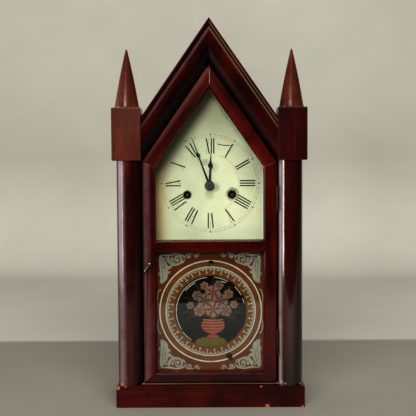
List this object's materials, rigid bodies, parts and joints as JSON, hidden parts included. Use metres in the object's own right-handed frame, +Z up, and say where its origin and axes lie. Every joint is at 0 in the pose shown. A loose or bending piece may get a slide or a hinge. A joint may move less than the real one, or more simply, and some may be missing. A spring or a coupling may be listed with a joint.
{
  "type": "steeple shelf clock",
  "caption": "Pointed shelf clock with rolled gable mouldings, half columns, turned steeples, a hinged glazed door and a weightless striking movement with pendulum and gong.",
  "frame": {"origin": "middle of the footprint, on the shelf", "axes": "+Z up, front faces -Y, +X to the right as seen from the front"},
  "size_m": [0.2518, 0.114, 0.508],
  "materials": {
    "case_wood": "dark red-brown shellac over mahogany veneer, glossy and worn",
    "turned_wood": "redder brown shellac, fine vertical grain",
    "plain_wood": "bare pine, aged",
    "clear_glass": "clear old window glass",
    "painted_glass": "glass painted on the back",
    "dial_paint": "cream painted zinc, aged",
    "brass": "aged brass",
    "steel": "plain steel",
    "iron": "black japanned iron",
    "black_steel": "blackened steel"
  },
  "bodies": {
    "case": {"plinth_front": "case_wood", "plinth_side_left": "case_wood", "plinth_side_right": "case_wood", "floor_board": "plain_wood", "case_side_left": "case_wood", "case_side_right": "case_wood", "back_board": "plain_wood", "roof_board_left": "case_wood", "roof_board_right": "case_wood", "front_stile_left": "case_wood", "front_stile_right": "case_wood", "column_left": "case_wood", "column_right": "case_wood", "capital_block_left": "turned_wood", "capital_block_right": "turned_wood", "steeple_left": "turned_wood", "steeple_right": "turned_wood", "gable_moulding_left": "case_wood", "gable_moulding_right": "case_wood", "dial_cleats": "plain_wood", "dial_plate": "dial_paint", "movement_front_plate": "brass", "movement_back_plate": "brass", "movement_pillars": "brass", "screws_and_nuts": "iron", "time_mainspring": "steel", "strike_mainspring": "steel", "front_plate_cocks": "brass", "gong_coil": "steel", "gong_base": "iron", "case_hinge_leaves": "brass", "latch_catch_plate": "brass"},
    "door": {"door_stile_left": "case_wood", "door_stile_right": "case_wood", "door_rafter_left": "case_wood", "door_rafter_right": "case_wood", "door_rail_middle": "case_wood", "door_rail_bottom": "case_wood", "dial_glass": "clear_glass", "tablet_glass": "painted_glass", "door_hinge_leaves": "brass"},
    "latch": {"latch_turn": "brass"},
    "minute_work": {"minute_hand": "black_steel", "centre_arbor": "steel"},
    "hour_work": {"hour_hand": "black_steel", "hour_wheel": "brass"},
    "motion_wheel": {"minute_wheel": "brass"},
    "time_main": {"time_main_wheel": "brass"},
    "time_winder": {"time_winding_arbor": "steel"},
    "centre_gear": {"centre_wheel": "brass"},
    "third_gear": {"third_wheel": "brass"},
    "escape_gear": {"escape_wheel": "brass"},
    "verge": {"verge_and_crutch": "steel"},
    "pendulum_body": {"pendulum": "brass"},
    "strike_main": {"strike_main_wheel": "brass"},
    "strike_winder": {"strike_winding_arbor": "steel"},
    "pin_gear": {"pin_wheel": "brass"},
    "warning_gear": {"warning_wheel": "brass"},
    "fly_body": {"fly": "brass"},
    "hammer": {"gong_hammer": "steel"}
  },
  "joints": [
    {"name": "door_hinge", "type": "hinge", "parent": "case", "child": "door", "pos_m": [0.0883, -0.0469, 0.18], "axis": [0, 0, 1], "range_deg": [0, 95]},
    {"name": "latch_turn_joint", "type": "hinge", "parent": "door", "child": "latch", "pos_m": [-0.0794, -0.033, 0.1855], "axis": [0, -1, 0], "range_deg": [0, 90]},
    {"name": "minute_turn", "type": "hinge", "parent": "case", "child": "minute_work", "pos_m": [0, 0.028, 0.2887], "axis": [0, 1, 0], "continuous": true},
    {"name": "hour_turn", "type": "hinge", "parent": "case", "child": "hour_work", "pos_m": [0, -0.002, 0.2887], "axis": [0, 1, 0], "continuous": true},
    {"name": "motion_wheel_turn", "type": "hinge", "parent": "case", "child": "motion_wheel", "pos_m": [0.01624, 0.001, 0.29461], "axis": [0, 1, 0], "continuous": true},
    {"name": "escape_turn", "type": "hinge", "parent": "case", "child": "escape_gear", "pos_m": [-0.011, 0.028, 0.3267], "axis": [0, 1, 0], "continuous": true},
    {"name": "third_turn", "type": "hinge", "parent": "case", "child": "third_gear", "pos_m": [0.00261, 0.028, 0.31274], "axis": [0, 1, 0], "continuous": true},
    {"name": "centre_turn", "type": "hinge", "parent": "case", "child": "centre_gear", "pos_m": [0, 0.04, 0.2887], "axis": [0, 1, 0], "continuous": true},
    {"name": "time_main_turn", "type": "hinge", "parent": "case", "child": "time_main", "pos_m": [0.03, 0.038, 0.2762], "axis": [0, 1, 0], "continuous": true},
    {"name": "time_winding", "type": "hinge", "parent": "case", "child": "time_winder", "pos_m": [0.03, 0.028, 0.2762], "axis": [0, 1, 0], "continuous": true},
    {"name": "pendulum_swing", "type": "hinge", "parent": "case", "child": "pendulum_body", "pos_m": [-0.011, 0.0018, 0.3457], "axis": [0, 1, 0], "range_deg": [-3.5, 3.5]},
    {"name": "verge_rock", "type": "hinge", "parent": "case", "child": "verge", "pos_m": [-0.011, 0.005, 0.3457], "axis": [0, 1, 0], "range_deg": [-3.6, 3.6]},
    {"name": "fly_turn", "type": "hinge", "parent": "case", "child": "fly_body", "pos_m": [-0.02767, 0.028, 0.3352], "axis": [0, 1, 0], "continuous": true},
    {"name": "warning_turn", "type": "hinge", "parent": "case", "child": "warning_gear", "pos_m": [-0.02533, 0.028, 0.32191], "axis": [0, 1, 0], "continuous": true},
    {"name": "pin_turn", "type": "hinge", "parent": "case", "child": "pin_gear", "pos_m": [-0.03399, 0.028, 0.3069], "axis": [0, 1, 0], "continuous": true},
    {"name": "strike_main_turn", "type": "hinge", "parent": "case", "child": "strike_main", "pos_m": [-0.03, 0.014, 0.2762], "axis": [0, 1, 0], "continuous": true},
    {"name": "strike_winding", "type": "hinge", "parent": "case", "child": "strike_winder", "pos_m": [-0.03, 0.028, 0.2762], "axis": [0, 1, 0], "continuous": true},
    {"name": "hammer_lift", "type": "hinge", "parent": "case", "child": "hammer", "pos_m": [-0.056, 0.028, 0.3007], "axis": [0, 1, 0], "range_deg": [0, 8], "stiffness_Nm_per_rad": 0.03, "springref_deg": -8.59}
  ],
  "couplings": [
    {"joint": "hour_turn", "follows": "minute_turn", "ratio": 0.083333},
    {"joint": "motion_wheel_turn", "follows": "minute_turn", "ratio": -0.33333},
    {"joint": "third_turn", "follows": "escape_turn", "ratio": -0.083333},
    {"joint": "centre_turn", "follows": "escape_turn", "ratio": 0.0069444},
    {"joint": "time_main_turn", "follows": "escape_turn", "ratio": -0.00086806},
    {"joint": "verge_rock", "follows": "pendulum_swing", "ratio": 1},
    {"joint": "warning_turn", "follows": "fly_turn", "ratio": -0.125},
    {"joint": "pin_turn", "follows": "fly_turn", "ratio": 0.015625},
    {"joint": "strike_main_turn", "follows": "fly_turn", "ratio": -0.0016026}
  ]
}
